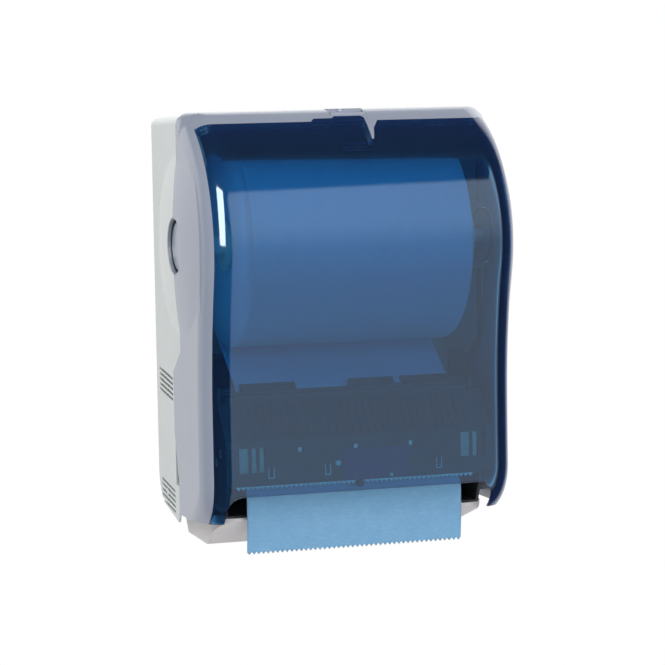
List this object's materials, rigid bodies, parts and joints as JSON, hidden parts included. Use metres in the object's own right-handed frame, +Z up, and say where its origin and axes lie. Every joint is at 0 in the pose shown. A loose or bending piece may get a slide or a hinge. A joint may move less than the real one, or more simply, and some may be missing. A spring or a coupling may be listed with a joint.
{
  "type": "automatic roll towel dispenser",
  "caption": "Wall-mounted hands-free dispenser with a domed smoke-window cover over a paper towel roll, feed rollers, toothed tear bar and a hanging towel end.",
  "frame": {"origin": "on the wall face, half way across it, 216 mm below the top of the cover", "axes": "+X to the user's right, +Y into the wall, +Z up; the user stands at -Y"},
  "size_m": [0.3752, 0.2414, 0.495],
  "materials": {
    "housing_plastic": "satin",
    "cover_plastic": "satin",
    "smoke_window": "clear gloss",
    "dark_plastic": "satin",
    "arm_plastic": "satin",
    "nose_plastic": "satin",
    "gear_plastic": "satin",
    "towel_paper": "matte",
    "cardboard": "matte",
    "roller_rubber": "matte",
    "steel": "brushed",
    "lock_brass": "plated",
    "board_laminate": "semi-matt",
    "sensor_lens": "gloss",
    "lamp_lens": "gloss",
    "cell_jacket": "gloss"
  },
  "bodies": {
    "housing": {"rear_housing": "housing_plastic", "module_frame": "dark_plastic", "mechanism_hood": "dark_plastic", "chute_nose": "nose_plastic", "tear_bar": "steel", "battery_box": "dark_plastic", "battery_cells": "cell_jacket", "battery_contacts": "steel", "drive_motor": "steel", "gear_cover": "dark_plastic", "circuit_board": "board_laminate", "sensor_panel": "dark_plastic", "status_lamp": "lamp_lens", "hand_sensor": "sensor_lens", "hinge_pins": "steel", "latch_strike": "steel", "arm_pins": "steel", "roller_bushes": "gear_plastic", "paper_web": "towel_paper", "towel_tail": "towel_paper"},
    "cover": {"cover_frame": "cover_plastic", "cover_window": "smoke_window", "latch_cup": "cover_plastic", "latch_spring": "steel"},
    "latch_button": {"latch_button": "cover_plastic"},
    "lock": {"lock_cylinder": "lock_brass"},
    "right_arm": {"right_roll_arm": "arm_plastic"},
    "left_arm": {"left_roll_arm": "arm_plastic"},
    "right_hub": {"right_hub": "dark_plastic", "right_hub_cap": "cover_plastic"},
    "left_hub": {"left_hub": "dark_plastic", "left_hub_cap": "cover_plastic"},
    "roll": {"roll_core": "cardboard", "towel_roll": "towel_paper"},
    "feed_roller": {"feed_shaft": "steel", "feed_sleeves": "roller_rubber", "feed_gear": "gear_plastic"},
    "pinch_roller": {"pinch_roller": "dark_plastic"},
    "idler": {"idler_gear": "gear_plastic"},
    "motor_rotor": {"motor_pinion": "gear_plastic", "motor_shaft": "steel"},
    "transfer_bar": {"transfer_bar": "arm_plastic"},
    "battery_lid": {"battery_lid": "dark_plastic"},
    "feed_button": {"feed_button": "arm_plastic"}
  },
  "joints": [
    {"name": "cover_hinge", "type": "hinge", "parent": "housing", "child": "cover", "pos_m": [0, -0.04, -0.224], "axis": [1, 0, 0], "range_deg": [0, 95]},
    {"name": "latch_push", "type": "slide", "parent": "cover", "child": "latch_button", "axis": [0, 0, -1], "range_m": [0, 0.004], "stiffness_N_per_m": 1200, "springref_m": -0.003, "deforming": ["latch_spring"]},
    {"name": "lock_turn", "type": "hinge", "parent": "latch_button", "child": "lock", "pos_m": [0.005, -0.1395, 0.205], "axis": [0, 0, 1], "range_deg": [0, 90]},
    {"name": "right_arm_spread", "type": "hinge", "parent": "housing", "child": "right_arm", "pos_m": [0.162, -0.012, 0.067], "axis": [0, 0, 1], "range_deg": [0, 8], "stiffness_Nm_per_rad": 4, "springref_deg": -8.59},
    {"name": "left_arm_spread", "type": "hinge", "parent": "housing", "child": "left_arm", "pos_m": [-0.162, -0.012, 0.067], "axis": [0, 0, -1], "range_deg": [0, 8], "stiffness_Nm_per_rad": 4, "springref_deg": -8.59},
    {"name": "right_hub_spin", "type": "hinge", "parent": "right_arm", "child": "right_hub", "pos_m": [0.15, -0.121, 0.067], "axis": [1, 0, 0], "continuous": true},
    {"name": "left_hub_spin", "type": "hinge", "parent": "left_arm", "child": "left_hub", "pos_m": [-0.15, -0.121, 0.067], "axis": [1, 0, 0], "continuous": true},
    {"name": "roll_spin", "type": "hinge", "parent": "housing", "child": "roll", "pos_m": [0, -0.121, 0.067], "axis": [1, 0, 0], "continuous": true},
    {"name": "feed_spin", "type": "hinge", "parent": "housing", "child": "feed_roller", "pos_m": [0, -0.15, -0.176], "axis": [1, 0, 0], "continuous": true},
    {"name": "pinch_spin", "type": "hinge", "parent": "housing", "child": "pinch_roller", "pos_m": [0, -0.16855, -0.16418], "axis": [1, 0, 0], "continuous": true},
    {"name": "idler_spin", "type": "hinge", "parent": "housing", "child": "idler", "pos_m": [0.1555, -0.11823, -0.16506], "axis": [1, 0, 0], "continuous": true},
    {"name": "motor_spin", "type": "hinge", "parent": "housing", "child": "motor_rotor", "pos_m": [0.1555, -0.10093, -0.1601], "axis": [1, 0, 0], "continuous": true},
    {"name": "transfer_bar_lift", "type": "hinge", "parent": "housing", "child": "transfer_bar", "pos_m": [0, -0.1575, -0.09907], "axis": [1, 0, 0], "range_deg": [0, 40]},
    {"name": "battery_lid_hinge", "type": "hinge", "parent": "housing", "child": "battery_lid", "pos_m": [0, -0.007, -0.07075], "axis": [-1, 0, 0], "range_deg": [0, 90]},
    {"name": "feed_button_push", "type": "slide", "parent": "housing", "child": "feed_button", "axis": [0, 1, 0], "range_m": [0, 0.0015], "stiffness_N_per_m": 600, "springref_m": -0.001}
  ],
  "couplings": [
    {"joint": "right_hub_spin", "follows": "roll_spin", "ratio": 1},
    {"joint": "left_hub_spin", "follows": "roll_spin", "ratio": 1},
    {"joint": "pinch_spin", "follows": "feed_spin", "ratio": -1.3333},
    {"joint": "idler_spin", "follows": "feed_spin", "ratio": -1.8},
    {"joint": "motor_spin", "follows": "feed_spin", "ratio": 3.6}
  ]
}
